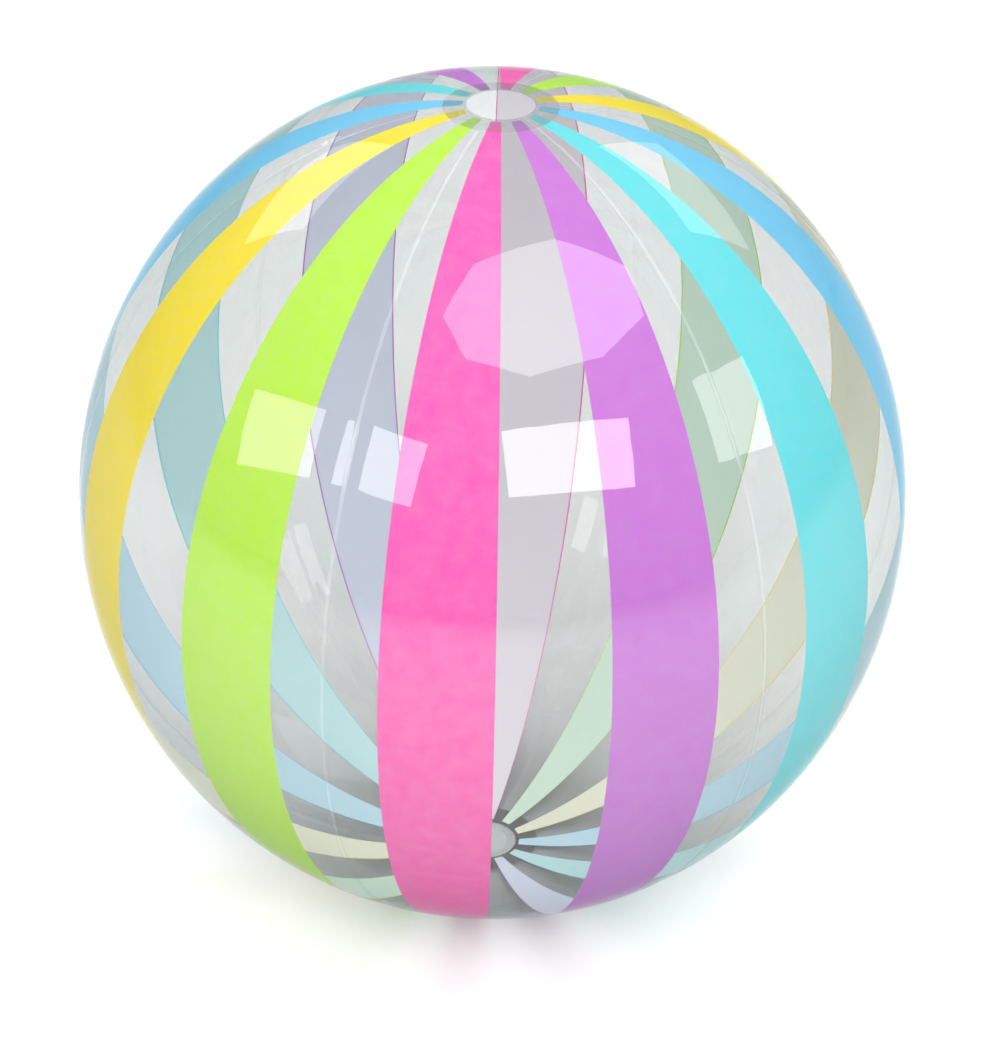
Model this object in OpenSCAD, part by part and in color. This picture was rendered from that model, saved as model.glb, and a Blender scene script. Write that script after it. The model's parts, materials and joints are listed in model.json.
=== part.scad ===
// Inflatable beach ball: six clear film panels welded edge to edge, twelve
// printed colour stripes, two pole caps and a push-in inflation valve.
// Millimetres. The origin is the centre of the ball and +Z runs from the
// bottom cap to the top cap. Longitude 0 faces -Y and grows towards +X.

/* [Ball] */
// Outside radius at the equator, inflated
ball_r = 340; // [250:1:450]
// Half of the height from pole to pole, inflated
pole_r = 354; // [260:1:470]
// Radius of the flat patch that the bottom cap settles on
rest_patch_r = 20; // [8:1:25]

/* [Film panels] */
// Thickness of the clear film
film_t = 0.3; // [0.2:0.05:0.6]
// Radius of the round opening that the panels leave at each pole
panel_hole_r = 27; // [22:0.5:32]
// Width of the weld between two panels
seam_w = 3.4; // [2:0.1:8]
// Thickness of the two fused films in a weld
seam_t = 0.5; // [0.3:0.05:1]

/* [Pole caps] */
// Outside radius of a cap
cap_r = 45.5; // [40:0.5:70]
// Radius of the round weld that holds a cap
cap_weld_r = 35.6; // [33:0.1:38]
// Width of that weld
cap_weld_w = 1.6; // [1:0.1:4]
// Depth that the weld is pressed into the cap
cap_weld_depth = 0.1; // [0.05:0.01:0.15]

/* [Printed stripes] */
// Radius at which a stripe stops short of the pole
stripe_end_r = 30; // [28:0.5:60]
// Thickness of the colour layer
ink_t = 0.05; // [0.03:0.01:0.2]
// Thickness of the white layer behind it
backing_t = 0.05; // [0.03:0.01:0.2]
// Gap that keeps the colour layer just clear of the film
print_clear = 0.01; // [0.005:0.005:0.05]

/* [Valve] */
// Latitude of the valve on the back panel
valve_lat = -25; // [-34:1:0]
// Radius of the hole in the film and in the flange
valve_hole_r = 15; // [14:0.5:18]
// Radius of the flange welded inside the film
flange_r = 24; // [20:0.5:30]
// Thickness of the flange
flange_t = 0.8; // [0.5:0.1:1.5]
// Thickness of the rolling diaphragm
diaphragm_t = 0.6; // [0.4:0.1:1]
// Radius of the throat that grips the pump nozzle
bore_r = 4; // [3:0.1:4.6]
// Extra radius of the mouth that the plug closes
mouth_step = 0.5; // [0.3:0.1:1]
// Depth of that mouth
mouth_depth = 10; // [7:0.5:12]
// Wall of the stem round the throat
stem_wall = 2.5; // [1.8:0.1:3]
// Length of the stem
stem_len = 20; // [18:0.5:26]
// Depth of the stem's rim below the ball's surface when pushed in
stem_depth = 1.2; // [0.8:0.1:3]
// Width of the collar at the stem's inner end
collar_w = 3; // [2:0.1:3.4]
// Thickness of that collar
collar_t = 1.5; // [1:0.1:2.5]
// Width of the bead round the stem's mouth
bead_w = 0.7; // [0.4:0.1:1.2]
// Height of that bead
bead_h = 1; // [0.6:0.1:1.5]

/* [Plug] */
// Radius of the plug's head
head_r = 8.5; // [7.5:0.1:9.4]
// Thickness of the plug's head
head_t = 2; // [1.5:0.1:3]
// Radial clearance of the spigot in the stem's mouth
spigot_clear = 0.05; // [0.02:0.01:0.1]
// Gap between the spigot's end and the step at the mouth's bottom
spigot_end_gap = 0.2; // [0.1:0.1:1]
// Reach of the pull tab and of the strap tab from the plug's axis
tab_reach = 13; // [12:0.1:13.4]
// Width of the pull tab
pull_tab_w = 8; // [5:0.5:10]

/* [Tether strap] */
// Width of the strap
strap_w = 5; // [3:0.5:6]
// Thickness of the strap
strap_t = 1; // [0.6:0.1:1.2]
// Depth of the folded strap below the plug's head
strap_drop = 14.3; // [8:0.1:15]
// Height of the ring that holds the strap on the stem
ring_h = 2; // [1.5:0.1:3]

/* [Check flap] */
// Radius of the flap that closes the stem's inner end
flap_r = 5.2; // [4.8:0.1:5.6]
// Thickness of the flap
flap_t = 0.8; // [0.5:0.1:1.2]
// Width of the flap's living hinge
flap_hinge_w = 4; // [2:0.5:6]

/* [Hidden] */
// Names of the panels, the weld to the right of each, and the stripes, all
// counted to the right from the front
PANELS = ["panel_front", "panel_right_front", "panel_right_back",
          "panel_back", "panel_left_back", "panel_left_front"];
SEAMS = ["seam_front_right", "seam_right", "seam_back_right",
         "seam_back_left", "seam_left", "seam_front_left"];
PRINTS = ["pink_front", "purple_front", "teal_right", "blue_right",
          "yellow_right", "lime_right", "pink_back", "purple_back",
          "teal_left", "blue_left", "yellow_left", "lime_left"];
STRIPES = [for (name = PRINTS) str("stripe_", name)];
BACKINGS = [for (name = PRINTS) str("backing_", name)];
VALVE = ["valve_flange", "valve_diaphragm", "valve_stem", "valve_check_flap",
         "valve_plug", "plug_tether"];
INKS = ["#F56FBF", "#CF84DC", "#7FE1E6", "#80C9F0", "#F2E04B", "#C4EE5E"];
CLEAR = [0.86, 0.88, 0.88, 0.35];
VALVE_COLOR = [0.9, 0.92, 0.93, 0.8];
arc_fn = 256;
$fn = 96;

// Longitudes
panel_angle = 360 / len(PANELS);
stripe_pitch = 360 / len(PRINTS);
stripe_angle = stripe_pitch / 2;
first_stripe = -stripe_angle;
first_panel = first_stripe + (stripe_pitch + stripe_angle) / 2;
valve_panel = 3;
valve_lon = first_panel + valve_panel * panel_angle;

// The ball's outline is an oval of two arcs that meet at the shoulder line:
// a flatter one round the equator and a rounder one over each pole
shoulder = 45;
bulge = (pole_r - ball_r) / (1 + tan(shoulder) - 1 / cos(shoulder));
side_arc_r = ball_r + bulge;
polar_arc_r = side_arc_r - bulge / cos(shoulder);
polar_z = bulge * tan(shoulder);
rest_z = polar_z + sqrt(pow(polar_arc_r + film_t, 2) - pow(rest_patch_r, 2));
far = 2 * max(ball_r, pole_r);
ink_top = film_t + print_clear;

// Places along the valve's axis, from the ball's outer surface
stem_r = bore_r + stem_wall;
mouth_r = bore_r + mouth_step;
spigot_len = mouth_depth - spigot_end_gap;
rim_z = -stem_depth;
base_z = rim_z - stem_len;
collar_r = stem_r + collar_w;
collar_z = base_z + collar_t;
lip_gap = 0.5;
lip_r = collar_r - 0.6;
bowl_r = valve_hole_r - lip_r;
bowl_z = collar_z + bowl_r;
diaphragm_top_z = -film_t - flange_t;
ring_z = rim_z - bead_h;
ring_w = stem_wall * 0.75;
ring_clear = 0.05;
strap_in_r = stem_r + ring_w - strap_t;
strap_out_r = tab_reach - 0.6;
strap_turn_r = (strap_out_r - strap_in_r) / 2;
strap_turn_x = (strap_out_r + strap_in_r) / 2;
strap_turn_z = rim_z - strap_drop;
tab_t = head_t / 2;
flap_hinge_x = stem_r - 0.3;
hole_cut = 40;

// Turns its children from longitude 0 along +X to a longitude
module at_longitude(lon) rotate([0, 0, lon - 90]) children();

// Puts its children on the ball's surface, with +Z along the valve's axis
module at_valve()
    at_longitude(valve_lon)
        translate([-bulge, 0, 0])
            rotate([0, 90 - valve_lat, 0])
                translate([0, 0, side_arc_r])
                    children();

// A band between two depths below the outline of an arc
module arc_band(r, top, bottom)
    difference() {
        circle(r = r - top, $fn = arc_fn);
        circle(r = r - bottom, $fn = arc_fn);
    }

// Half of the ball's section: the layer between two depths below the outer
// surface, from one distance off the axis to another
module layer(top, bottom, from_r, to_r)
    intersection() {
        union() {
            translate([-bulge, 0])
                intersection() {
                    arc_band(side_arc_r, top, bottom);
                    polygon([[0, 0], [far, far * tan(shoulder)], [far, -far * tan(shoulder)]]);
                }
            for (side = [-1, 1])
                translate([0, side * polar_z])
                    intersection() {
                        arc_band(polar_arc_r, top, bottom);
                        polygon([[0, 0], [far, side * far * tan(shoulder)], [0, side * far]]);
                    }
        }
        translate([from_r, -far]) square([to_r - from_r, 2 * far]);
    }

// The meridian slab that a weld fills
module weld_slab(lon)
    at_longitude(lon) translate([0, -seam_w / 2, -far]) cube([far, seam_w, 2 * far]);

// One film panel, cut back to the welds on both sides
module panel(i) {
    lon = first_panel + i * panel_angle;
    color(CLEAR)
        difference() {
            at_longitude(lon - panel_angle / 2)
                rotate_extrude(angle = panel_angle) layer(0, film_t, panel_hole_r, far);
            for (side = [-1, 1]) weld_slab(lon + side * panel_angle / 2);
            if (i == valve_panel)
                at_valve() cylinder(r = valve_hole_r, h = hole_cut, center = true);
        }
}

// The fused lap between panel i and the next
module seam(i) {
    lon = first_panel + (i + 0.5) * panel_angle;
    reach = 12;
    color(CLEAR)
        intersection() {
            at_longitude(lon - reach)
                rotate_extrude(angle = 2 * reach) layer(0, seam_t, panel_hole_r, far);
            weld_slab(lon);
        }
}

// A printed layer behind the film's inner face
module print_layer(i, top, thickness)
    at_longitude(first_stripe + i * stripe_pitch)
        rotate_extrude(angle = stripe_angle)
            layer(top, top + thickness, stripe_end_r, far);

module stripe(i)
    color(INKS[i % len(INKS)]) print_layer(i, ink_top, ink_t);

module backing(i)
    color("white") print_layer(i, ink_top + ink_t, backing_t);

// The pressed line of a cap's weld, in section
module cap_groove()
    layer(-film_t, cap_weld_depth - film_t, cap_weld_r - cap_weld_w / 2, cap_weld_r + cap_weld_w / 2);

module cap_top()
    color(CLEAR)
        rotate_extrude()
            intersection() {
                difference() {
                    layer(-film_t, 0, 0, cap_r);
                    cap_groove();
                }
                square(far);
            }

// A polar disc in section, cut flat at a height
module settled_disc(r, z)
    intersection() {
        translate([0, -polar_z]) circle(r = r, $fn = arc_fn);
        translate([0, -z]) square([cap_r, z - polar_z]);
    }

// The bottom cap lies flat over the patch that the ball rests on
module cap_bottom()
    color(CLEAR)
        rotate_extrude()
            difference() {
                settled_disc(polar_arc_r + film_t, rest_z);
                settled_disc(polar_arc_r, rest_z - film_t);
                cap_groove();
            }

module valve_flange()
    color(VALVE_COLOR)
        difference() {
            intersection() {
                at_longitude(valve_lon - panel_angle / 4)
                    rotate_extrude(angle = panel_angle / 2)
                        layer(film_t, film_t + flange_t, panel_hole_r, far);
                at_valve() cylinder(r = flange_r, h = hole_cut, center = true);
            }
            at_valve() cylinder(r = valve_hole_r, h = 2 * hole_cut, center = true);
        }

// The soft bowl that lets the stem roll in and out
module valve_diaphragm()
    color(VALVE_COLOR)
        at_valve()
            rotate_extrude() {
                translate([valve_hole_r - diaphragm_t, bowl_z])
                    square([diaphragm_t, diaphragm_top_z - bowl_z]);
                translate([lip_r, bowl_z])
                    intersection() {
                        arc_band(bowl_r, 0, diaphragm_t);
                        translate([0, -bowl_r]) square(bowl_r);
                    }
                translate([stem_r + lip_gap, collar_z])
                    square([lip_r - stem_r - lip_gap, diaphragm_t]);
            }

module valve_stem()
    color(VALVE_COLOR)
        at_valve()
            difference() {
                union() {
                    translate([0, 0, base_z]) cylinder(r = stem_r, h = stem_len);
                    translate([0, 0, base_z]) cylinder(r = collar_r, h = collar_t);
                    translate([0, 0, ring_z]) cylinder(r = stem_r + bead_w, h = bead_h);
                }
                translate([0, 0, base_z - 1]) cylinder(r = bore_r, h = stem_len + 2);
                translate([0, 0, rim_z - mouth_depth])
                    cylinder(r = mouth_r, h = mouth_depth + 1);
            }

// Opens inwards when a nozzle pushes it
module valve_check_flap()
    color(VALVE_COLOR)
        at_valve()
            translate([0, 0, base_z - flap_t]) {
                cylinder(r = flap_r, h = flap_t);
                translate([-flap_hinge_x, -flap_hinge_w / 2, 0])
                    cube([flap_hinge_x, flap_hinge_w, flap_t]);
            }

// A flat tab with a round end that reaches along +X
module tab(w, z) {
    turn_x = tab_reach - w / 2;
    translate([0, -w / 2, z]) cube([turn_x, w, tab_t]);
    translate([turn_x, 0, z]) cylinder(r = w / 2, h = tab_t);
}

module valve_plug()
    color(VALVE_COLOR)
        at_valve() {
            translate([0, 0, rim_z]) cylinder(r = head_r, h = head_t);
            translate([0, 0, rim_z - spigot_len])
                cylinder(r = mouth_r - spigot_clear, h = spigot_len + head_t / 2);
            tab(strap_w + 1, rim_z);
            rotate([0, 0, 180]) tab(pull_tab_w, rim_z + head_t - tab_t);
        }

// The strap hangs in a folded loop beside the stem
module plug_tether()
    color(VALVE_COLOR)
        at_valve() {
            difference() {
                translate([0, 0, ring_z - ring_h]) cylinder(r = stem_r + ring_w, h = ring_h);
                translate([0, 0, ring_z - ring_h - 1])
                    cylinder(r = stem_r + ring_clear, h = ring_h + 2);
            }
            rotate([90, 0, 0])
                linear_extrude(height = strap_w, center = true) {
                    translate([strap_in_r, strap_turn_z])
                        square([strap_t, ring_z - strap_turn_z]);
                    translate([strap_out_r - strap_t, strap_turn_z])
                        square([strap_t, rim_z - strap_turn_z]);
                    translate([strap_turn_x, strap_turn_z])
                        intersection() {
                            arc_band(strap_turn_r, 0, strap_t);
                            translate([-far, -2 * far]) square(2 * far);
                        }
                }
        }

for (i = [0 : len(PANELS) - 1]) {
    panel(i);
    seam(i);
}
for (i = [0 : len(PRINTS) - 1]) {
    stripe(i);
    backing(i);
}
cap_top();
cap_bottom();
valve_flange();
valve_diaphragm();
valve_stem();
valve_check_flap();
valve_plug();
plug_tether();
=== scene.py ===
import json
import logging
import math
from dataclasses import dataclass, field
from enum import Enum

import bmesh
import bpy
from mathutils import Matrix, Vector


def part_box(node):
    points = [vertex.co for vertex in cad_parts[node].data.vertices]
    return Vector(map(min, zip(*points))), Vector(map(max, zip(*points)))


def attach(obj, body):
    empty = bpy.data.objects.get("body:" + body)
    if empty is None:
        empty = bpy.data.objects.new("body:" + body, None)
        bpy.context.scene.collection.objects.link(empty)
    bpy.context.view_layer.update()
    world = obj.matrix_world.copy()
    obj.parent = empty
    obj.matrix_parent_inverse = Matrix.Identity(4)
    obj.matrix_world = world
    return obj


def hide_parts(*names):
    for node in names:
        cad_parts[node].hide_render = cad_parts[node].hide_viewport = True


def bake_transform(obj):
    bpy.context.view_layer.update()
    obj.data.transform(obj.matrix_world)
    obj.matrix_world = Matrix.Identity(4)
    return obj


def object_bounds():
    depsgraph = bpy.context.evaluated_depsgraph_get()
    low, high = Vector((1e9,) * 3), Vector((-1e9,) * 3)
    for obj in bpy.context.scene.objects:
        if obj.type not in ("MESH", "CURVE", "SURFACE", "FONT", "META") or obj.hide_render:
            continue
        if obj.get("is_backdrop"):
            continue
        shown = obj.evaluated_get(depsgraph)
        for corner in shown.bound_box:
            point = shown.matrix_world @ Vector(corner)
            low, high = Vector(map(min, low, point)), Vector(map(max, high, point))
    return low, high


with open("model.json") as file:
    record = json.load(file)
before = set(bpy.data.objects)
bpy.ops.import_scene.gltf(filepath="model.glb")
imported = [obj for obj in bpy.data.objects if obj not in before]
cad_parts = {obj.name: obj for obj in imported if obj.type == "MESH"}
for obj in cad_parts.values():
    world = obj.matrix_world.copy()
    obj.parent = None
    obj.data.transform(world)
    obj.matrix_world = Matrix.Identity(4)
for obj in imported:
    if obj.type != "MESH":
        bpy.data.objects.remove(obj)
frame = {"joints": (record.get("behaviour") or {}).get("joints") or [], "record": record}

log = logging.getLogger("beach_ball")

MM = 0.001
FULL_TURN = 2 * math.pi
SHARP_ANGLE = math.radians(32)
QUARTER_TURN = math.radians(90)
WELD_PITCH = math.radians(60)
FRONT_WELD = math.radians(37.5)
FIRST_STRIPE = math.radians(-15)
THROAT_DEPTH = 16.2 * MM

Shell = bmesh.types.BMesh
Material = bpy.types.Material
Piece = bpy.types.Object


class Ink(Enum):
    """The six printed colours, each with the colour that shows through the white layer behind it."""

    PINK = ("#FF5CB8", "#EEDFE9")
    PURPLE = ("#CA73D4", "#DCDCEE")
    TEAL = ("#66DDE4", "#C3E6E8")
    BLUE = ("#72CCF2", "#C3E2F0")
    YELLOW = ("#FBE224", "#F0EBD4")
    LIME = ("#BEEC42", "#D6EAD6")

    @property
    def colour(self) -> str:
        """The ink's own colour."""
        return self.value[0]

    @property
    def behind(self) -> str:
        """The colour of its white backing, tinted by the ink under it."""
        return self.value[1]


def linear(colour: str) -> tuple[float, float, float, float]:
    """Turns an sRGB hex colour into a linear one.

    Args:
        colour: A colour such as "#FF8000".

    Returns:
        Red, green, blue and alpha for a shader socket.
    """
    parts = [int(colour[i : i + 2], 16) / 255 for i in (1, 3, 5)]
    return (*[c / 12.92 if c <= 0.04045 else ((c + 0.055) / 1.055) ** 2.4 for c in parts], 1.0)


def smooth_step(value: float, low: float, high: float) -> float:
    """Rises smoothly from 0 to 1 as a value goes from low to high.

    Args:
        value: The value.
        low: Where the rise starts.
        high: Where it ends; it may lie below low.

    Returns:
        The share risen.
    """
    share = min(max((value - low) / (high - low), 0.0), 1.0)
    return share * share * (3 - 2 * share)


# -------------------- finishes


def add(tree: bpy.types.NodeTree, kind: str, settings: dict | None = None,
        **inputs: object) -> bpy.types.Node:
    """Adds one shader node.

    Args:
        tree: The node tree.
        kind: The node's type, such as "ShaderNodeBump".
        settings: The node's own properties.
        inputs: Input sockets by name, with _ for a space, or in0, in1... by number.
            Each gets a value or the output socket that feeds it.

    Returns:
        The new node.
    """
    node = tree.nodes.new(kind)
    for name, value in (settings or {}).items():
        setattr(node, name, value)
    for name, value in inputs.items():
        key = int(name[2:]) if name[:2] == "in" and name[2:].isdigit() else name.replace("_", " ")
        socket = node.inputs[key]
        if isinstance(value, bpy.types.NodeSocket):
            tree.links.new(value, socket)
        else:
            socket.default_value = value
    return node


def per_metre(size_mm: float) -> float:
    """The texture scale whose features are about this many millimetres across."""
    return 1 / (size_mm * MM)


def new_material(name: str) -> tuple[Material, bpy.types.NodeTree, bpy.types.NodeSocket]:
    """Makes an empty material.

    Args:
        name: What the real material is called.

    Returns:
        The material, its tree and the Object coordinates.
    """
    material = bpy.data.materials.new(name)
    material.use_nodes = True
    tree = material.node_tree
    tree.nodes.clear()
    return material, tree, add(tree, "ShaderNodeTexCoord").outputs["Object"]


def close_material(tree: bpy.types.NodeTree, surface: bpy.types.NodeSocket) -> None:
    """Feeds the finished shader to the material's output."""
    add(tree, "ShaderNodeOutputMaterial", Surface=surface)


@dataclass(frozen=True)
class ClearFilm:
    """Calendered plasticised PVC film: clear, glossy, with faint slack waves, haze and scuffs.

    Each face of the film mirrors a little of the room, much more at the ball's rim, and lets the rest
    through slightly greyed, a little darker at the rim.
    """

    name: str = "calendered_clear_pvc_film"
    tint: str = "#EEEFEF"
    rim_tint: str = "#E3E6E6"
    rim_power: float = 3.0
    haze_colour: str = "#F2F4F4"
    haze: float = 0.005
    scuff: float = 0.02
    roughness: float = 0.022
    mirror_straight: float = 0.043
    mirror_power: float = 17.0
    wave_mm: float = 130.0
    wave_height_mm: float = 0.5
    ripple_mm: float = 26.0
    ripple_height_mm: float = 0.035
    scuff_mm: float = 7.0
    scuffs_from: float = 0.58
    scuffs_to: float = 0.8

    def make(self) -> Material:
        """Builds the film's material.

        Returns:
            The material.
        """
        material, tree, place = new_material(self.name)
        waves = add(tree, "ShaderNodeTexNoise", Vector=place, Scale=per_metre(self.wave_mm), Detail=1.0)
        slack = add(tree, "ShaderNodeBump", Height=waves.outputs["Fac"], Strength=1.0,
                    Distance=self.wave_height_mm * MM)
        ripples = add(tree, "ShaderNodeTexNoise", Vector=place, Scale=per_metre(self.ripple_mm), Detail=2.0)
        uneven = add(tree, "ShaderNodeBump", Height=ripples.outputs["Fac"], Strength=1.0,
                     Distance=self.ripple_height_mm * MM, Normal=slack.outputs["Normal"])
        slant = add(tree, "ShaderNodeLayerWeight", Blend=0.5)
        rise = add(tree, "ShaderNodeMath", {"operation": "POWER"}, in0=slant.outputs["Facing"],
                   in1=self.mirror_power)
        mirror = add(tree, "ShaderNodeMath", {"operation": "MULTIPLY_ADD"}, in0=rise.outputs[0],
                     in1=1 - self.mirror_straight, in2=self.mirror_straight)
        steep = add(tree, "ShaderNodeMath", {"operation": "POWER"}, in0=slant.outputs["Facing"],
                    in1=self.rim_power)
        tint = add(tree, "ShaderNodeMix", {"data_type": "RGBA"}, in0=steep.outputs[0],
                   in6=linear(self.tint), in7=linear(self.rim_tint))
        clear = add(tree, "ShaderNodeBsdfTransparent", Color=tint.outputs[2])
        gloss = add(tree, "ShaderNodeBsdfAnisotropic", Color=(1, 1, 1, 1), Roughness=self.roughness,
                    Normal=uneven.outputs["Normal"])
        film = add(tree, "ShaderNodeMixShader", in0=mirror.outputs[0], in1=clear.outputs[0],
                   in2=gloss.outputs[0])
        marks = add(tree, "ShaderNodeTexNoise", Vector=place, Scale=per_metre(self.scuff_mm), Detail=6.0,
                    Roughness=0.7)
        worn = add(tree, "ShaderNodeMapRange", Value=marks.outputs["Fac"], From_Min=self.scuffs_from,
                   From_Max=self.scuffs_to, To_Min=self.haze, To_Max=self.scuff)
        bloom = add(tree, "ShaderNodeBsdfPrincipled", Base_Color=linear(self.haze_colour), Roughness=0.5)
        whole = add(tree, "ShaderNodeMixShader", in0=worn.outputs["Result"], in1=film.outputs[0],
                    in2=bloom.outputs[0])
        close_material(tree, whole.outputs[0])
        return material


@dataclass(frozen=True)
class PrintInk:
    """Gravure ink on the film's inner face: even, nearly opaque, with a faint mottle of its density."""

    name: str
    colour: str
    see_through: float = 0.07
    mottle_mm: float = 14.0
    mottle: float = 0.035
    grain_mm: float = 3.0
    grain_share: float = 0.35
    thin_from: float = 0.45
    thin_to: float = 0.9

    def make(self) -> Material:
        """Builds one ink's material.

        Returns:
            The material.
        """
        material, tree, place = new_material(self.name)
        cloud = add(tree, "ShaderNodeTexNoise", Vector=place, Scale=per_metre(self.mottle_mm), Detail=3.0)
        dots = add(tree, "ShaderNodeTexNoise", Vector=place, Scale=per_metre(self.grain_mm), Detail=1.0)
        blend = add(tree, "ShaderNodeMath", {"operation": "MULTIPLY_ADD"}, in0=dots.outputs["Fac"],
                    in1=self.grain_share, in2=cloud.outputs["Fac"])
        density = add(tree, "ShaderNodeMapRange", Value=blend.outputs[0], From_Min=self.thin_from,
                      From_Max=self.thin_to, To_Min=1.0 + self.mottle, To_Max=1.0 - self.mottle)
        shade = add(tree, "ShaderNodeHueSaturation", Color=linear(self.colour),
                    Saturation=density.outputs["Result"])
        ink = add(tree, "ShaderNodeBsdfPrincipled", Base_Color=shade.outputs["Color"], Roughness=0.55,
                  IOR=1.45, Specular_IOR_Level=0.2)
        thin = add(tree, "ShaderNodeBsdfTransparent", Color=linear(self.colour))
        layer = add(tree, "ShaderNodeMixShader", in0=self.see_through, in1=ink.outputs[0],
                    in2=thin.outputs[0])
        close_material(tree, layer.outputs[0])
        return material


@dataclass(frozen=True)
class MilkyPvc:
    """Injection-moulded soft PVC: milky, waxy gloss, with fine moulding texture."""

    name: str
    colour: str
    see_through: float = 0.25
    depth_mm: float = 3.0
    grain_mm: float = 0.8
    grain_height_mm: float = 0.02
    cloud_mm: float = 9.0
    glossiest: float = 0.2
    dullest: float = 0.36

    def make(self) -> Material:
        """Builds the moulded material.

        Returns:
            The material.
        """
        material, tree, place = new_material(self.name)
        grain = add(tree, "ShaderNodeTexNoise", Vector=place, Scale=per_metre(self.grain_mm), Detail=3.0)
        skin = add(tree, "ShaderNodeBump", Height=grain.outputs["Fac"], Strength=0.5,
                   Distance=self.grain_height_mm * MM)
        cloud = add(tree, "ShaderNodeTexNoise", Vector=place, Scale=per_metre(self.cloud_mm), Detail=2.0)
        gloss = add(tree, "ShaderNodeMapRange", Value=cloud.outputs["Fac"], To_Min=self.glossiest,
                    To_Max=self.dullest)
        body = add(tree, "ShaderNodeBsdfPrincipled", Base_Color=linear(self.colour),
                   Roughness=gloss.outputs["Result"], IOR=1.53, Normal=skin.outputs["Normal"],
                   Subsurface_Weight=0.4, Subsurface_Scale=self.depth_mm * MM)
        thin = add(tree, "ShaderNodeBsdfTransparent", Color=linear(self.colour))
        whole = add(tree, "ShaderNodeMixShader", in0=self.see_through, in1=body.outputs[0],
                    in2=thin.outputs[0])
        close_material(tree, whole.outputs[0])
        return material


@dataclass(frozen=True)
class StudioFloor:
    """Pale satin laminate, which mirrors the ball softly."""

    name: str = "pale_satin_laminate"
    colour: str = "#E0E0DF"
    cloud_mm: float = 60.0
    glossiest: float = 0.3
    dullest: float = 0.38

    def make(self) -> Material:
        """Builds the floor's material.

        Returns:
            The material.
        """
        material, tree, place = new_material(self.name)
        cloud = add(tree, "ShaderNodeTexNoise", Vector=place, Scale=per_metre(self.cloud_mm), Detail=4.0)
        gloss = add(tree, "ShaderNodeMapRange", Value=cloud.outputs["Fac"], To_Min=self.glossiest,
                    To_Max=self.dullest)
        top = add(tree, "ShaderNodeBsdfPrincipled", Base_Color=linear(self.colour),
                  Roughness=gloss.outputs["Result"], IOR=1.45)
        close_material(tree, top.outputs[0])
        return material


# -------------------- meshes


def swept(bm: Shell, geom: list, centre: Vector | tuple, axis: tuple, angle: float, steps: int) -> list:
    """Spins geometry about an axis and leaves the start in place.

    Args:
        bm: The mesh.
        geom: Vertices and edges to spin.
        centre: A point on the axis.
        axis: The axis's direction.
        angle: How far to turn, in radians.
        steps: Number of steps.

    Returns:
        The geometry at the far end.
    """
    return bmesh.ops.spin(bm, geom=geom, cent=centre, axis=axis, angle=angle, steps=steps,
                          use_merge=False, use_duplicate=False)["geom_last"]


def vertices(geom: list) -> list:
    """The vertices among some geometry."""
    return [g for g in geom if isinstance(g, bmesh.types.BMVert)]


def drawn(bm: Shell, line: list, step: tuple, steps: int = 1) -> list:
    """Extrudes a line of edges, or a single vertex, in straight steps.

    Args:
        bm: The mesh.
        line: The edges with their vertices, or the vertex.
        step: How far one step goes.
        steps: Number of steps.

    Returns:
        The geometry at the far end.
    """
    for _ in range(steps):
        edges = [g for g in line if isinstance(g, bmesh.types.BMEdge)]
        if edges:
            fresh = bmesh.ops.extrude_edge_only(bm, edges=edges)["geom"]
            line = [g for g in fresh if not isinstance(g, bmesh.types.BMFace)]
        else:
            line = bmesh.ops.extrude_vert_indiv(bm, verts=line)["verts"]
        bmesh.ops.translate(bm, verts=vertices(line), vec=step)
    return line


def spin_round(bm: Shell, steps: int) -> None:
    """Spins the whole mesh once round +Z and leaves no seam."""
    bmesh.ops.spin(bm, geom=bm.verts[:] + bm.edges[:], cent=(0, 0, 0), axis=(0, 0, 1), angle=FULL_TURN,
                   steps=steps, use_merge=True, use_duplicate=False)


def turn_mesh(bm: Shell, angle: float) -> None:
    """Turns the whole mesh about +Z."""
    bmesh.ops.rotate(bm, verts=bm.verts, cent=(0, 0, 0), matrix=Matrix.Rotation(angle, 3, "Z"))


def face_away(bm: Shell, centre: Vector) -> None:
    """Merges doubles and turns an open shell's faces away from a point.

    Args:
        bm: The mesh.
        centre: The point.
    """
    bmesh.ops.remove_doubles(bm, verts=bm.verts, dist=1e-6)
    bmesh.ops.recalc_face_normals(bm, faces=bm.faces)
    if sum((f.calc_center_median() - centre).dot(f.normal) * f.calc_area() for f in bm.faces) < 0:
        bmesh.ops.reverse_faces(bm, faces=bm.faces)


def thicken(bm: Shell, thickness: float) -> None:
    """Gives an open shell its wall, on the side away from its normals."""
    bmesh.ops.solidify(bm, geom=bm.faces[:], thickness=thickness)


def turned(outline: list[tuple[float, float]], rounding: float, steps: int = 56) -> Shell:
    """Turns a closed outline about +Z, with its sharp edges rounded.

    Args:
        outline: Corners as (distance from the axis, height), in millimetres.
        rounding: Radius of the rounded edges, in millimetres.
        steps: Steps of the full turn.

    Returns:
        A closed mesh in metres.
    """
    bm = bmesh.new()
    corners = [bm.verts.new((r * MM, 0, z * MM)) for r, z in outline]
    for here, there in zip(corners, corners[1:] + corners[:1]):
        if here.co.x > 0 or there.co.x > 0:
            bm.edges.new((here, there))
    spin_round(bm, steps)
    bmesh.ops.remove_doubles(bm, verts=bm.verts, dist=1e-6)
    bmesh.ops.recalc_face_normals(bm, faces=bm.faces)
    round_edges(bm, rounding)
    return bm


def round_edges(bm: Shell, rounding: float) -> None:
    """Rounds the edges that are sharper than SHARP_ANGLE, by a radius in millimetres."""
    sharp = [e for e in bm.edges if len(e.link_faces) == 2 and e.calc_face_angle() > SHARP_ANGLE]
    bmesh.ops.bevel(bm, geom=sharp, offset=rounding * MM, segments=3, profile=0.5, affect="EDGES",
                    material=-1, clamp_overlap=True)


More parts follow.
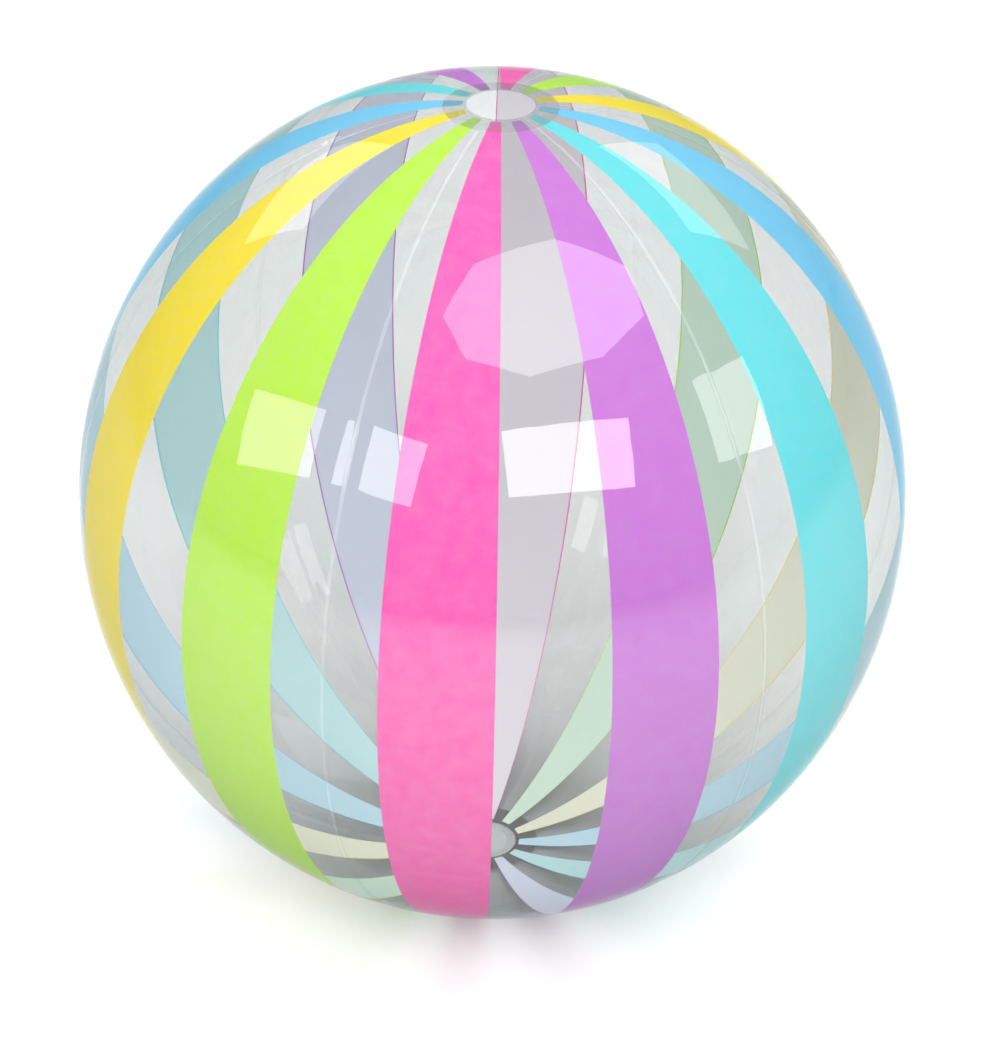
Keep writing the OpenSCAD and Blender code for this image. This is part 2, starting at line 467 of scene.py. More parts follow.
def joined(target: Shell, *others: Shell) -> Shell:
    """Adds other meshes to the first and frees them.

    Args:
        target: The mesh that grows.
        others: The meshes to add.

    Returns:
        The grown mesh.
    """
    for other in others:
        spare = bpy.data.meshes.new("spare")
        other.to_mesh(spare)
        other.free()
        target.from_mesh(spare)
        bpy.data.meshes.remove(spare)
    return target


def shown(name: str, data: bpy.types.ID) -> Piece:
    """Puts an object in the scene.

    Args:
        name: The object's name.
        data: Its mesh, light or camera.

    Returns:
        The object.
    """
    item = bpy.data.objects.new(name, data)
    bpy.context.scene.collection.objects.link(item)
    return item


def shown_mesh(bm: Shell, name: str, material: Material) -> Piece:
    """Puts a mesh in the scene with its material, and frees it.

    Args:
        bm: The mesh.
        name: The object's name.
        material: Its finish.

    Returns:
        The object.
    """
    mesh = bpy.data.meshes.new(name)
    bm.to_mesh(mesh)
    bm.free()
    mesh.materials.append(material)
    return shown(name, mesh)


def finish_piece(bm: Shell, name: str, material: Material, node: str, body: str | None) -> Piece:
    """Makes a finished piece that stands for one CAD node.

    Args:
        bm: The piece's mesh in the ball's frame; it is freed.
        name: The piece's name.
        material: Its finish.
        node: The CAD node that it replaces.
        body: The body that it rides on, or None for a piece that bends between two bodies, which is then
            attached to no body.

    Returns:
        The piece.
    """
    for face in bm.faces:
        face.smooth = True
    for edge in bm.edges:
        edge.smooth = len(edge.link_faces) == 2 and edge.calc_face_angle(0) < SHARP_ANGLE
    piece = shown_mesh(bm, name, material)
    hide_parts(node)
    if body:
        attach(piece, body)
    log.info("%s: %d faces, for %s", name, len(piece.data.polygons), node)
    return piece


@dataclass(frozen=True)
class Oval:
    """The ball's outline: a flat arc round the equator that meets a rounder one over each pole.

    The two arcs meet at the shoulder line, 45 degrees up and down.
    """

    ball_r: float
    pole_r: float
    shoulder: float = math.radians(45)
    side_steps: int = 72
    polar_steps: int = 100

    @property
    def bulge(self) -> float:
        """How far the side arc's centre lies beyond the axis."""
        slope, reach = math.tan(self.shoulder), 1 / math.cos(self.shoulder)
        return (self.pole_r - self.ball_r) / (1 + slope - reach)

    @property
    def side_r(self) -> float:
        """Radius of the side arc."""
        return self.ball_r + self.bulge

    @property
    def polar_r(self) -> float:
        """Radius of the polar arcs."""
        return self.side_r - self.bulge / math.cos(self.shoulder)

    @property
    def polar_z(self) -> float:
        """Height of the upper polar arc's centre."""
        return self.bulge * math.tan(self.shoulder)

    def arc_at(self, co: Vector) -> tuple[Vector, float]:
        """Finds the arc that a point belongs to.

        Args:
            co: The point.

        Returns:
            The arc's centre and radius.
        """
        off_axis = math.hypot(co.x, co.y)
        if abs(co.z) > math.tan(self.shoulder) * (off_axis + self.bulge):
            return Vector((0, 0, math.copysign(self.polar_z, co.z))), self.polar_r
        return Vector((-self.bulge * co.x / off_axis, -self.bulge * co.y / off_axis, 0)), self.side_r

    def outwards(self, co: Vector) -> Vector:
        """The surface's normal at a point."""
        return (co - self.arc_at(co)[0]).normalized()

    def settled(self, co: Vector, depth: float) -> Vector:
        """The point moved straight onto the layer at a depth below the outer surface."""
        centre, radius = self.arc_at(co)
        return centre + (co - centre).normalized() * (radius - depth)

    def meridian(self, bm: Shell, from_r: float) -> list:
        """Draws the outline from one polar opening to the other, at +X.

        Args:
            bm: The mesh.
            from_r: Radius of the openings at the poles.

        Returns:
            The outline's vertices and edges.
        """
        tilt = math.asin(from_r / self.polar_r)
        end = [bm.verts.new((from_r, 0, self.polar_z + self.polar_r * math.cos(tilt)))]
        arcs = (((0, 0, self.polar_z), self.shoulder - tilt, self.polar_steps),
                ((-self.bulge, 0, 0), 2 * self.shoulder, self.side_steps),
                ((0, 0, -self.polar_z), self.shoulder - tilt, self.polar_steps))
        for centre, angle, steps in arcs:
            end = swept(bm, end, centre, (0, 1, 0), angle, steps)
        return bm.verts[:] + bm.edges[:]


@dataclass(frozen=True)
class Slackness:
    """How the film departs from the plain oval: it dips at the welds and puckers near the caps."""

    oval: Oval
    first_weld: float
    weld_pitch: float
    dip: float = 0.55 * MM
    dip_width: float = 13 * MM
    pucker: float = 0.22 * MM
    pucker_pitch: float = 8.5 * MM
    pucker_width: float = 6 * MM
    dip_start: float = 60 * MM
    dip_full: float = 190 * MM
    pucker_start: float = 210 * MM
    pucker_full: float = 80 * MM
    cap_edge: float = 46 * MM
    cap_clear: float = 54 * MM

    def sink(self, co: Vector) -> float:
        """How far the film lies below the oval at a point.

        Args:
            co: The point.

        Returns:
            The depth in metres.
        """
        off_axis = math.hypot(co.x, co.y)
        turn = (math.atan2(co.y, co.x) - self.first_weld) / self.weld_pitch
        weld = round(turn)
        aside = off_axis * math.sin((turn - weld) * self.weld_pitch)
        width = self.dip_width * (0.3 + 0.7 * off_axis / self.oval.ball_r)
        dip = self.dip * smooth_step(off_axis, self.dip_start, self.dip_full)
        dip *= math.exp(-((aside / width) ** 2))
        near_cap = smooth_step(off_axis, self.pucker_start, self.pucker_full)
        near_cap *= smooth_step(off_axis, self.cap_edge, self.cap_clear)
        along = FULL_TURN * off_axis / self.pucker_pitch + 2.3 * weld
        # Each weld's puckers start at a point of their own and come and go along it.
        wave = math.sin(along) * (0.6 + 0.4 * math.sin(0.37 * along + weld))
        return dip + self.pucker * near_cap * wave * math.exp(-((aside / self.pucker_width) ** 2))

    def shape(self, bm: Shell, depth: float) -> None:
        """Lays every vertex on the slack film.

        Args:
            bm: The mesh.
            depth: Depth below the film's outer face.
        """
        for vert in bm.verts:
            on_oval = self.oval.settled(vert.co, depth)
            vert.co = on_oval - self.oval.outwards(on_oval) * self.sink(vert.co)


# -------------------- the ball


@dataclass
class FilmShell:
    """The six clear panels, the six welds between them and the two caps."""

    oval: Oval
    slack: Slackness
    film: Material
    weld_film: Material
    cap_film: Material
    rest_z: float
    cap_r: float
    opening_r: float = 27 * MM
    film_t: float = 0.3 * MM
    weld_w: float = 3.4 * MM
    weld_t: float = 0.5 * MM
    weld_bead: float = 0.09 * MM
    bead_at: float = 0.66
    bead_w: float = 0.2
    weld_columns: int = 8
    near_weld: float = math.radians(6)
    near_weld_steps: int = 12
    panel_steps: int = 24
    ring_r: float = 35.6 * MM
    ring_w: float = 1.6 * MM
    ring_depth: float = 0.22 * MM
    cap_steps: int = 144

    def panel(self, index: int, node: str, valve: "ValveSeat") -> None:
        """Makes one panel, with the valve's hole in the one that has it.

        Args:
            index: The panel's number, counted to the right from the front.
            node: The CAD node.
            valve: Where the valve sits.
        """
        bm = bmesh.new()
        start = self.slack.first_weld + (index - 1) * self.slack.weld_pitch
        line = self.oval.meridian(bm, self.opening_r)
        turn_mesh(bm, start)
        middle = self.slack.weld_pitch - 2 * self.near_weld
        for angle, steps in ((self.near_weld, self.near_weld_steps), (middle, self.panel_steps),
                             (self.near_weld, self.near_weld_steps)):
            line = swept(bm, line, (0, 0, 0), (0, 0, 1), angle, steps)
        for edge_angle, side in ((start, 1), (start + self.slack.weld_pitch, -1)):
            across = Vector((-math.sin(edge_angle), math.cos(edge_angle), 0)) * side
            bmesh.ops.bisect_plane(bm, geom=bm.verts[:] + bm.edges[:] + bm.faces[:], dist=1e-7,
                                   plane_co=across * self.weld_w / 2, plane_no=across, clear_inner=True)
        if node == valve.panel:
            valve.cut_hole(bm)
        self.slack.shape(bm, 0)
        face_away(bm, Vector())
        thicken(bm, self.film_t)
        finish_piece(bm, node.replace("panel_", "film_"), self.film, node, "ball")

    def weld(self, index: int, node: str) -> None:
        """Makes one weld: a flat lap with a squeezed bead along both edges.

        Args:
            index: The weld's number, counted to the right from the front.
            node: The CAD node.
        """
        bm = bmesh.new()
        line = self.oval.meridian(bm, self.opening_r)
        bmesh.ops.translate(bm, verts=bm.verts, vec=(0, -self.weld_w / 2, 0))
        drawn(bm, line, (0, self.weld_w / self.weld_columns, 0), self.weld_columns)
        across = {v: abs(v.co.y) / (self.weld_w / 2) for v in bm.verts}
        turn_mesh(bm, self.slack.first_weld + index * self.slack.weld_pitch)
        self.slack.shape(bm, 0)
        for vert, share in across.items():
            bead = math.exp(-(((share - self.bead_at) / self.bead_w) ** 2))
            vert.co += self.oval.outwards(vert.co) * self.weld_bead * bead
        face_away(bm, Vector())
        thicken(bm, self.weld_t)
        finish_piece(bm, node.replace("seam_", "weld_"), self.weld_film, node, "ball")

    def cap(self, node: str, up: int) -> None:
        """Makes one cap: a round of film with the pressed ring of its weld.

        Args:
            node: The CAD node.
            up: 1 for the top cap and -1 for the bottom one.
        """
        bm = bmesh.new()
        outer = self.oval.polar_r + self.film_t
        line = [bm.verts.new((0, 0, self.oval.polar_z + outer))]
        ring_in, ring_out = self.ring_r - self.ring_w / 2, self.ring_r + self.ring_w / 2
        last = 0.0
        for reach, steps in ((ring_in, 20), (ring_out, 8), (self.cap_r, 6)):
            angle = math.asin(reach / outer)
            line = swept(bm, line, (0, 0, self.oval.polar_z), (0, 1, 0), angle - last, steps)
            last = angle
        spin_round(bm, self.cap_steps)
        for vert in bm.verts:
            off = abs(math.hypot(vert.co.x, vert.co.y) - self.ring_r) / (self.ring_w / 2)
            if off < 1:
                vert.co -= self.oval.outwards(vert.co) * self.ring_depth * math.cos(off * math.pi / 2)
        if up < 0:
            bmesh.ops.mirror(bm, geom=bm.verts[:] + bm.edges[:] + bm.faces[:], axis="Z", merge_dist=-1)
            bmesh.ops.delete(bm, geom=[f for f in bm.faces if f.calc_center_median().z > 0], context="FACES")
            for vert in bm.verts:
                vert.co.z = max(vert.co.z, -self.rest_z)
        face_away(bm, Vector())
        thicken(bm, self.film_t)
        finish_piece(bm, node.replace("cap_", "polar_cap_"), self.cap_film, node, "ball")

    def build(self, valve: "ValveSeat") -> None:
        """Makes every piece of the shell, in the record's order.

        Args:
            valve: Where the valve sits.
        """
        for index, node in enumerate(nodes_called("panel_")):
            self.panel(index, node, valve)
        for index, node in enumerate(nodes_called("seam_")):
            self.weld(index, node)
        self.cap("cap_top", 1)
        self.cap("cap_bottom", -1)


@dataclass
class Prints:
    """The twelve printed stripes: a colour layer and a slightly narrower white layer behind each."""

    oval: Oval
    slack: Slackness
    first_angle: float
    end_r: float = 30 * MM
    pitch: float = math.radians(30)
    width: float = math.radians(15)
    white_inset: float = math.radians(0.22)
    ink_depth: float = 0.42 * MM
    ink_t: float = 0.05 * MM
    white_depth: float = 0.58 * MM
    white_t: float = 0.05 * MM
    columns: int = 8

    def layer(self, index: int, inset: float, depth: float, thickness: float) -> Shell:
        """Makes one printed layer.

        Args:
            index: The stripe's number, counted to the right from the front.
            inset: The angle by which it is narrower on each side.
            depth: Depth of its outer face below the film's.
            thickness: Its thickness.

        Returns:
            A closed mesh.
        """
        bm = bmesh.new()
        line = self.oval.meridian(bm, self.end_r)
        start = self.first_angle + index * self.pitch + inset
        turn_mesh(bm, start)
        swept(bm, line, (0, 0, 0), (0, 0, 1), self.width - 2 * inset, self.columns)
        self.slack.shape(bm, depth)
        face_away(bm, Vector())
        thicken(bm, thickness)
        return bm

    def build(self) -> list[Piece]:
        """Makes both layers of every stripe.

        Returns:
            The white layers.
        """
        backs = []
        inks = {ink: PrintInk(f"{ink.name.lower()}_gravure_ink", ink.colour).make() for ink in Ink}
        whites = {ink: PrintInk(f"white_ink_over_{ink.name.lower()}", ink.behind, mottle=0.03).make()
                  for ink in Ink}
        for index, node in enumerate(nodes_called("stripe_")):
            name = node.replace("stripe_", "")
            ink = Ink[name.split("_")[0].upper()]
            colour = self.layer(index, 0, self.ink_depth, self.ink_t)
            finish_piece(colour, f"ink_{name}", inks[ink], node, "ball")
            white = self.layer(index, self.white_inset, self.white_depth, self.white_t)
            backs.append(finish_piece(white, f"white_{name}", whites[ink],
                                      f"backing_{name}", "ball"))
        return backs


# -------------------- the valve


@dataclass(frozen=True)
class ValveSeat:
    """Where the valve sits, with +Z along its axis from the film's outer face and +X down the ball."""

    oval: Oval
    place: Matrix
    panel: str = "panel_back"
    hole_r: float = 15 * MM
    fine_r: float = 46 * MM
    rim_share: float = 1.4

    def near(self, co: Vector) -> float:
        """Distance of a point from the valve's axis, or a metre on the ball's far side."""
        local = self.place.inverted() @ co
        return math.hypot(local.x, local.y) if local.z > -self.fine_r else 1.0

    def cut_hole(self, bm: Shell) -> None:
        """Opens the valve's round hole in a panel's surface.

        Args:
            bm: The panel's mesh.
        """
        fine = [e for e in bm.edges if max(self.near(v.co) for v in e.verts) < self.fine_r]
        bmesh.ops.subdivide_edges(bm, edges=fine, cuts=4, use_grid_fill=True)
        inside = [f for f in bm.faces if self.near(f.calc_center_median()) < self.hole_r]
        bmesh.ops.delete(bm, geom=inside, context="FACES")
        for vert in bm.verts:
            if vert.is_boundary and self.near(vert.co) < self.hole_r * self.rim_share:
                local = self.place.inverted() @ vert.co
                flat = Vector((local.x, local.y, 0)).normalized() * self.hole_r
                vert.co = self.place @ Vector((flat.x, flat.y, local.z))


@dataclass
class Valve:
    """The push-in valve: flange, rolling diaphragm, stem, check flap, plug and the plug's strap.

    Sizes are in millimetres in the valve's own frame, whose height 0 is the film's outer face.
    """

    seat: ValveSeat
    pvc: Material
    plug_pvc: Material
    hole_r: float = 15.0
    flange_r: float = 24.0
    flange_top: float = -0.3
    flange_t: float = 0.8
    wall_t: float = 0.6
    collar_top: float = -19.7
    lip_r: float = 8.9
    stem_r: float = 6.5
    throat_r: float = 4.0
    mouth_r: float = 4.5
    mouth_depth: float = 10.0
    rim: float = -1.2
    base: float = -21.2
    collar_r: float = 9.5
    bead_r: float = 7.2
    head_r: float = 8.5
    head_top: float = 0.8
    spigot_r: float = 4.45
    spigot_end: float = -11.0
    tab_reach: float = 13.0
    pull_tab_w: float = 8.0
    strap_w: float = 5.0
    strap_t: float = 1.0
    strap_in: float = 7.375
    strap_out: float = 12.4
    strap_turn: float = -15.5
    ring_top: float = -2.2
    ring_base: float = -4.2
    flap_r: float = 5.2
    flap_t: float = 0.8
    flap_hinge: float = -6.2
    weld_rings: tuple[float, float] = (17.6, 21.4)
    weld_ring_w: float = 0.5
    weld_ring_height: float = 0.12
    round_steps: int = 96

    def place(self, bm: Shell) -> Shell:
        """Moves a mesh from the valve's frame to the ball's."""
        bmesh.ops.transform(bm, matrix=self.seat.place, verts=bm.verts)
        return bm

    def flange(self) -> None:
        """The disc welded inside the film, with two raised weld rings."""
        bm = bmesh.new()
        rings = 24
        width = (self.flange_r - self.hole_r) * MM / rings
        drawn(bm, [bm.verts.new((self.hole_r * MM, 0, 0))], (width, 0, 0), rings)
        spin_round(bm, self.round_steps)
        off_axis = {v: math.hypot(v.co.x, v.co.y) / MM for v in bm.verts}
        self.place(bm)
        for vert, reach in off_axis.items():
            ridge = sum(math.exp(-(((reach - r) / self.weld_ring_w) ** 2)) for r in self.weld_rings)
            depth = 0.05 - self.flange_top - self.weld_ring_height * ridge
            vert.co = self.seat.oval.settled(vert.co, depth * MM)
        face_away(bm, Vector())
        thicken(bm, self.flange_t * MM)
        finish_piece(bm, "welded_flange", self.pvc, "valve_flange", "ball")

    def diaphragm(self) -> None:
        """The soft bowl round the stem, which rolls out when the valve is pulled."""
        bm = bmesh.new()
        top = self.flange_top - self.flange_t
        bowl_r = self.hole_r - self.lip_r
        bowl_z = self.collar_top + bowl_r
        line = [bm.verts.new((self.hole_r * MM, 0, top * MM))]
        wall_steps, floor_steps = 14, 3
        line = drawn(bm, line, (0, 0, (bowl_z - top) * MM / wall_steps), wall_steps)
        line = swept(bm, line, (self.lip_r * MM, 0, bowl_z * MM), (0, 1, 0), math.pi / 2, 16)
        inwards = (self.stem_r + 0.5 - self.lip_r) * MM / floor_steps
        drawn(bm, vertices(line), (inwards, 0, 0), floor_steps)
        spin_round(bm, self.round_steps)
        face_away(bm, Vector((0, 0, self.rim * MM)))
        thicken(bm, self.wall_t * MM)
        self.place(bm)
        piece = finish_piece(bm, "rolling_diaphragm", self.pvc, "valve_diaphragm", None)
        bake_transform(piece)

    def stem(self) -> None:
        """The moulded tube, with a wide mouth, a narrow throat and an inner collar."""
        step = self.rim - self.mouth_depth
        outline = [(self.throat_r, self.base), (self.collar_r, self.base),
                   (self.collar_r, self.base + 1.5), (self.stem_r, self.base + 1.5),
                   (self.stem_r, self.rim - 1.2), (self.bead_r, self.rim - 0.9),
                   (self.bead_r, self.rim), (self.mouth_r, self.rim),
                   (self.mouth_r, step), (self.throat_r, step - 0.4)]
        bm = self.place(turned(outline, 0.22))
        finish_piece(bm, "moulded_stem", self.pvc, "valve_stem", "valve")

    def flap(self) -> None:
        """The check flap with its thin hinge."""
        disc = turned([(0, self.base - self.flap_t), (self.flap_r, self.base - self.flap_t),
                       (self.flap_r, self.base - 0.02), (0, self.base - 0.02)], 0.15)
        reach = -self.flap_hinge
        web = self.block(-reach, -reach / 2, 4.0, self.base - self.flap_t, self.base - 0.4)
        bm = self.place(joined(disc, web))
        finish_piece(bm, "hinged_flap", self.pvc, "valve_check_flap", "flap")

    def block(self, x0: float, x1: float, width: float, z0: float, z1: float) -> Shell:
        """Makes a plain slab with rounded edges.

        Args:
            x0: Where it starts along X.
            x1: Where it ends along X.
            width: Its width.
            z0: Height of its underside.
            z1: Height of its top.

        Returns:
            A closed mesh in the valve's frame.
        """
        bm = bmesh.new()
        bmesh.ops.create_cube(bm, size=1)
        bmesh.ops.scale(bm, verts=bm.verts, vec=((x1 - x0) * MM, width * MM, (z1 - z0) * MM))
        bmesh.ops.translate(bm, verts=bm.verts, vec=((x0 + x1) / 2 * MM, 0, (z0 + z1) / 2 * MM))
        round_edges(bm, min(0.25, (z1 - z0) / 4))
        return bm

    def tab(self, width: float, z0: float, z1: float, side: int) -> Shell:
        """A flat tab with a round end.

        Args:
            width: Its width.
            z0: Height of its underside.
            z1: Height of its top.
            side: 1 to reach down the ball and -1 to reach up it.

        Returns:
            A closed mesh in the valve's frame.
        """
        turn_x = self.tab_reach - width / 2
        bm = bmesh.new()
        line = drawn(bm, [bm.verts.new((0, -width / 2 * MM, z0 * MM))], (turn_x * MM, 0, 0))
        line = swept(bm, line, (turn_x * MM, 0, z0 * MM), (0, 0, 1), math.pi, 20)
        drawn(bm, vertices(line), (-turn_x * MM, 0, 0))
        bmesh.ops.contextual_create(bm, geom=bm.verts[:])
        raised = bmesh.ops.extrude_face_region(bm, geom=bm.faces[:])["geom"]
        bmesh.ops.translate(bm, verts=vertices(raised), vec=(0, 0, (z1 - z0) * MM))
        turn_mesh(bm, 0 if side > 0 else math.pi)
        bmesh.ops.recalc_face_normals(bm, faces=bm.faces)
        round_edges(bm, 0.25)
        return bm

    def plug(self) -> None:
        """The plug: head, ribbed spigot, strap tab and ridged pull tab."""
        half = (self.head_top + self.rim) / 2
        outline = [(0, self.spigot_end), (self.spigot_r - 0.5, self.spigot_end),
                   (self.spigot_r, self.spigot_end + 0.9)]
        for rib in range(3):
            z = self.spigot_end + 2.4 + 2.4 * rib
            outline += [(self.spigot_r, z), (self.spigot_r - 0.15, z + 0.3), (self.spigot_r - 0.15, z + 0.7),
                        (self.spigot_r, z + 1.0)]
        outline += [(self.spigot_r, self.rim), (self.head_r, self.rim), (self.head_r, self.head_top),
                    (self.head_r - 1.6, self.head_top), (self.head_r - 2.0, self.head_top - 0.25),
                    (0, self.head_top - 0.25)]
        head = turned(outline, 0.12)
        strap_tab = self.tab(self.strap_w + 1, self.rim, half, 1)
        pull_tab = self.tab(self.pull_tab_w, half, self.head_top, -1)
        ridges = [self.block(-x - 0.25, -x + 0.25, self.pull_tab_w - 2.5, self.head_top - 0.1,
                             self.head_top + 0.15) for x in (9.4, 10.4, 11.4)]
        bm = self.place(joined(head, strap_tab, pull_tab, *ridges))
        finish_piece(bm, "push_in_plug", self.plug_pvc, "valve_plug", "plug")

    def strap(self) -> None:
        """The ring round the stem and the folded strap that holds the plug."""
        outer = self.stem_r + 1.875
        ring = turned([(self.stem_r + 0.05, self.ring_base), (outer, self.ring_base), (outer, self.ring_top),
                       (self.stem_r + 0.05, self.ring_top)], 0.3)
        bm = bmesh.new()
        edge = bmesh.ops.create_grid(bm, x_segments=1, y_segments=1, size=self.strap_w / 2 * MM)
        bmesh.ops.delete(bm, geom=[v for v in edge["verts"] if v.co.x > 0], context="VERTS")
        line = bm.verts[:] + bm.edges[:]
        start = Vector((self.strap_in + self.strap_w / 2, 0, self.ring_top)) * MM
        bmesh.ops.translate(bm, verts=bm.verts, vec=start)
        steps = 10
        line = drawn(bm, line, (0, 0, (self.strap_turn - self.ring_top) * MM / steps), steps)
        fold = Vector(((self.strap_in + self.strap_out) / 2, 0, self.strap_turn)) * MM
        line = swept(bm, line, fold, (0, -1, 0), math.pi, 18)
        drawn(bm, line, (0, 0, (self.rim - self.strap_turn) * MM / steps), steps)
        face_away(bm, fold)
        thicken(bm, self.strap_t * MM)
        round_edges(bm, 0.2)
        bm = self.place(joined(ring, bm))
        piece = finish_piece(bm, "plug_strap", self.plug_pvc, "plug_tether", None)
        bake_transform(piece)

    def build(self) -> None:
        """Makes the valve's six pieces."""
        self.flange()
        self.diaphragm()
        self.stem()
        self.flap()
        self.plug()
        self.strap()


# -------------------- the studio


def direction(azimuth: float, elevation: float) -> Vector:
    """Turns two angles into a direction from the ball.

    Args:
        azimuth: Degrees to the right of the front.
        elevation: Degrees above the level.

    Returns:
        The direction, one unit long.
    """
    around, above = math.radians(azimuth), math.radians(elevation)
    return Vector((math.sin(around) * math.cos(above), -math.cos(around) * math.cos(above), math.sin(above)))


@dataclass(frozen=True)
class SoftBox:
    """One lit panel of the studio, aimed at the ball, with angles in degrees and sizes in metres.

    A panel that isn't mirrored only fills the shade and leaves no highlight on the film.
    """

    name: str
    azimuth: float
    elevation: float
    width: float
    height: float
    radiance: float
    roll: float = 0.0
    distance: float = 3.5
    mirrored: bool = True

    def place(self) -> Matrix:
        """Works out where the panel hangs.

        Returns:
            The matrix of its place, with +Z away from the ball.
        """
        away = direction(self.azimuth, self.elevation)
        level = Vector((0, 0, 1)).cross(away).normalized()
        roll = math.radians(self.roll)
        across = level * math.cos(roll) + away.cross(level) * math.sin(roll)
        turn = Matrix((across, away.cross(across), away)).transposed()
        return Matrix.Translation(away * self.distance) @ turn.to_4x4()

    def hang(self) -> None:
        """Makes the light."""
        light = bpy.data.lights.new(self.name, "AREA")
        light.shape = "RECTANGLE"
        light.size, light.size_y = self.width, self.height
        light.energy = self.radiance * math.pi * self.width * self.height
        lamp = shown(self.name, light)
        lamp.matrix_world = self.place()
        lamp.visible_camera = False
        lamp.visible_glossy = self.mirrored
        log.info("%s hung", self.name)


@dataclass
class Studio:
    """The camera, the soft light and the pale floor."""

    floor_z: float
    distance: float = 3.026
    azimuth: float = -0.9
    elevation: float = 31.05
    roll: float = 1.25
    lens: float = 126.8
    aim_right: float = 0.119
    aim_down: float = 0.402
    room_light: float = 0.6
    floor_size: float = 14.0
    seeping_power: float = 0.5
    seeping_r: float = 0.1
    seeping_z: float = 0.17
    boxes: list[SoftBox] = field(default_factory=lambda: [
        SoftBox("left_low_box", azimuth=-67, elevation=24, width=1.4, height=0.95, radiance=3.4, roll=21),
        SoftBox("left_box", azimuth=-33, elevation=30, width=1.1, height=0.93, radiance=3.8, roll=1),
        SoftBox("right_box", azimuth=23, elevation=34.5, width=2.1, height=1.0, radiance=4.9, roll=-6),
        SoftBox("right_low_box", azimuth=79, elevation=24.5, width=1.05, height=1.1, radiance=3.1, roll=-21),
        SoftBox("rear_left_box", azimuth=-140, elevation=35, width=1.6, height=1.0, radiance=2.0),
        SoftBox("rear_right_box", azimuth=140, elevation=35, width=1.6, height=1.0, radiance=2.0),
    ])
    fills: list[SoftBox] = field(default_factory=lambda: [
        SoftBox(name, azimuth, elevation, width=2.4, height=2.4, radiance=radiance, distance=4.0,
                mirrored=False)
        for name, azimuth, elevation, radiance in (
            ("front_fill", 0, 36, 6.5),
            ("left_fill", -90, 35, 3.0),
            ("right_fill", 90, 35, 3.0),
            ("rear_fill", 180, 45, 3.8),
            ("top_fill", 0, 86, 3.2))
    ])
    octagon: SoftBox = SoftBox("overhead_octagon", azimuth=38, elevation=72, width=3.1, height=2.15,
                               radiance=3.2, roll=-12)
    octagon_sides: int = 8
    octagon_reach: float = 0.54

    def set_camera(self) -> None:
        """Places the camera, with the ball a little left of and above the frame's middle."""
        back = direction(self.azimuth, self.elevation)
        level = Vector((0, 0, 1)).cross(back).normalized()
        lean = math.radians(self.roll)
        right = level * math.cos(lean) + back.cross(level) * math.sin(lean)
        up = back.cross(right)
        look = -back + right * math.tan(math.radians(self.aim_right))
        look = (look - up * math.tan(math.radians(self.aim_down))).normalized()
        right = (right - look * right.dot(look)).normalized()
        turn = Matrix((right, right.cross(look), -look)).transposed()
        data = bpy.data.cameras.new("camera")
        data.lens, data.sensor_width = self.lens, 36.0
        camera = shown("camera", data)
        camera.matrix_world = Matrix.Translation(back * self.distance) @ turn.to_4x4()
        bpy.context.scene.camera = camera

    def light_room(self) -> None:
        """Sets the even room light and hangs the soft boxes."""
        world = bpy.data.worlds.new("studio")
        bpy.context.scene.world = world
        world.use_nodes = True
        room = world.node_tree.nodes["Background"].inputs
        room["Color"].default_value = (1, 1, 1, 1)
        room["Strength"].default_value = self.room_light
        for box in self.boxes + self.fills:
            box.hang()
        self.hang_octagon()
        bpy.context.scene.view_settings.view_transform = "Standard"

    def hang_octagon(self) -> None:
        """Hangs the eight-sided soft box overhead, as a glowing sheet that belongs to the studio."""
        bm = bmesh.new()
        bmesh.ops.create_circle(bm, cap_ends=True, segments=self.octagon_sides, radius=self.octagon_reach)
        turn_mesh(bm, math.pi / self.octagon_sides)
        bmesh.ops.scale(bm, verts=bm.verts, vec=(self.octagon.width, self.octagon.height, 1))
        bmesh.ops.transform(bm, verts=bm.verts, matrix=self.octagon.place())
        material, tree, _ = new_material("lit_diffuser_cloth")
        close_material(tree, add(tree, "ShaderNodeEmission", Strength=self.octagon.radiance).outputs[0])
        sheet = shown_mesh(bm, self.octagon.name, material)
        sheet.visible_camera = False
        sheet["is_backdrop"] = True

    def light_inside(self, lit: list[Piece]) -> None:
        """Puts a soft lamp in the ball, for the daylight that seeps through real ink.

        Args:
            lit: The white print backs, the only pieces that it lights.
        """
        light = bpy.data.lights.new("seeping_light", "POINT")
        light.energy = self.seeping_power
        light.shadow_soft_size = self.seeping_r
        lamp = shown("seeping_light", light)
        lamp.location = (0, 0, self.seeping_z)
        lamp.visible_camera = False
        lamp.visible_glossy = False
        backs = bpy.data.collections.new("print_backs")
        for piece in lit:
            backs.objects.link(piece)
        lamp.light_linking.receiver_collection = backs

    def lay_floor(self) -> None:
        """Lays the pale floor under the ball."""
        bm = bmesh.new()
        bmesh.ops.create_grid(bm, x_segments=8, y_segments=8, size=self.floor_size / 2)
        bmesh.ops.translate(bm, verts=bm.verts, vec=(0, 0, self.floor_z))
        floor = shown_mesh(bm, "floor", StudioFloor().make())
        floor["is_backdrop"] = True

    def build(self) -> None:
        """Sets up the whole studio."""
        self.set_camera()
        self.light_room()
        self.lay_floor()


# -------------------- assembly


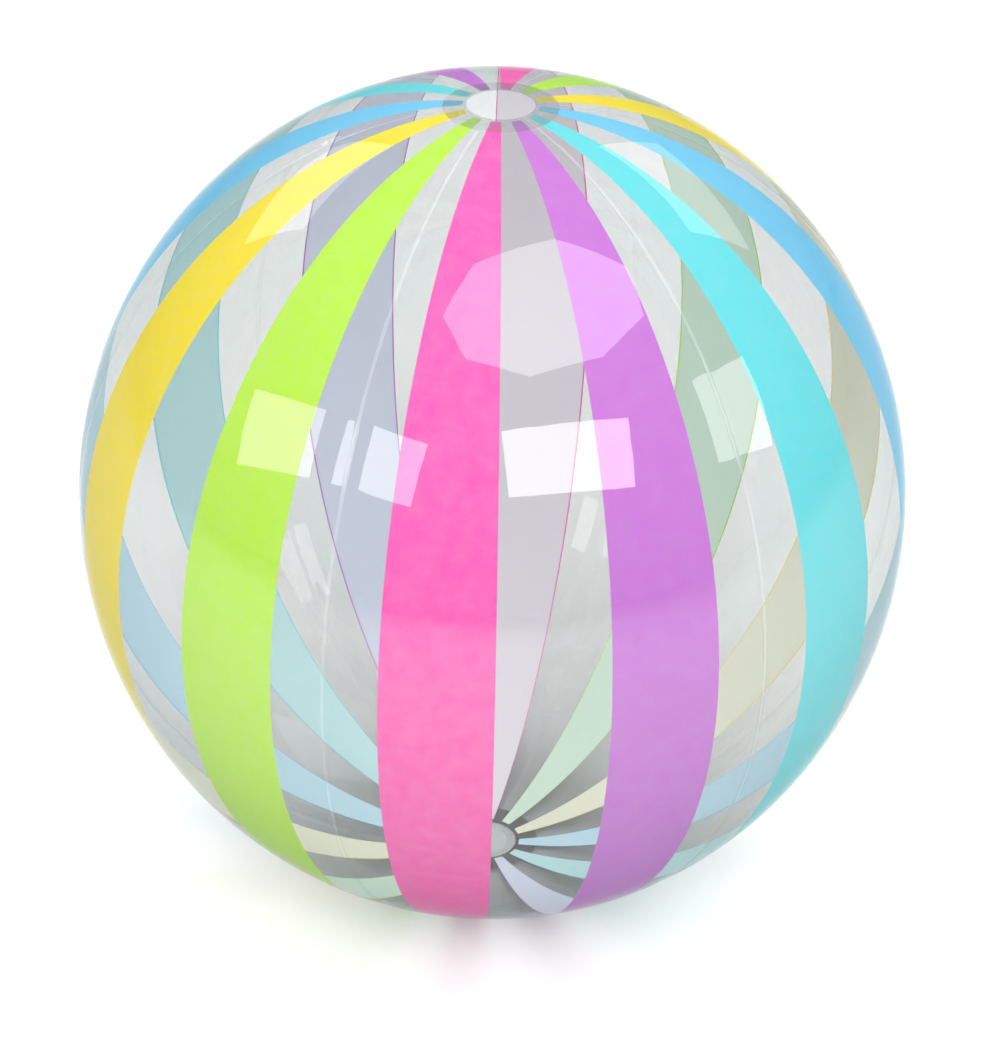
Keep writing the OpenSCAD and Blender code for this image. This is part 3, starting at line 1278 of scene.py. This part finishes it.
def nodes_called(start: str) -> list[str]:
    """The CAD nodes whose names begin so, in the record's order."""
    return [part["node"] for part in frame["record"]["subparts"] if part["node"].startswith(start)]


def valve_place(film_outer: float) -> Matrix:
    """The valve's frame: +Z out along its bore, +X down the ball.

    Args:
        film_outer: Distance from the middle of the throat to the film's outer face.

    Returns:
        The matrix from the valve's frame to the ball's.
    """
    bore = next(m for m in frame["record"]["mounts"] if m["name"] == "pump_nozzle")
    out = Vector(bore["axis"]).normalized()
    hinge = next(j for j in frame["joints"] if j["name"] == "flap_hinge")
    side = Vector(hinge["axis"]).normalized()
    origin = Vector(bore["pos_m"]) + out * film_outer
    return Matrix.Translation(origin) @ Matrix((side.cross(out), side, out)).transposed().to_4x4()


def main() -> None:
    """Builds the studio and the ball, piece by piece."""
    logging.basicConfig(level=logging.INFO, format="%(message)s")
    cad_low, cad_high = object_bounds()
    cap_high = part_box("cap_top")[1]
    oval = Oval(ball_r=cad_high.y, pole_r=cap_high.z - FilmShell.film_t)
    slack = Slackness(oval, first_weld=FRONT_WELD - QUARTER_TURN, weld_pitch=WELD_PITCH)
    studio = Studio(floor_z=cad_low.z)
    studio.build()
    weld_film = ClearFilm("fused_pvc_weld", tint="#F0F1F1", haze=0.035, scuff=0.09, roughness=0.16,
                          scuff_mm=3.0)
    cap_film = ClearFilm("pressed_pvc_cap_film", tint="#F7F8F8", haze=0.02, scuff=0.05,
                         mirror_straight=0.033)
    shell = FilmShell(oval, slack, ClearFilm().make(), weld_film.make(), cap_film.make(),
                      rest_z=-cad_low.z, cap_r=cap_high.x)
    seat = ValveSeat(oval, valve_place(THROAT_DEPTH))
    shell.build(seat)
    backs = Prints(oval, slack, first_angle=FIRST_STRIPE - QUARTER_TURN).build()
    studio.light_inside(backs)
    valve_pvc = MilkyPvc("moulded_milky_pvc", "#D3DADC")
    plug_pvc = MilkyPvc("moulded_plug_pvc", "#D6DDE0", see_through=0.15)
    Valve(seat, valve_pvc.make(), plug_pvc.make()).build()


if __name__ == "__main__":
    main()
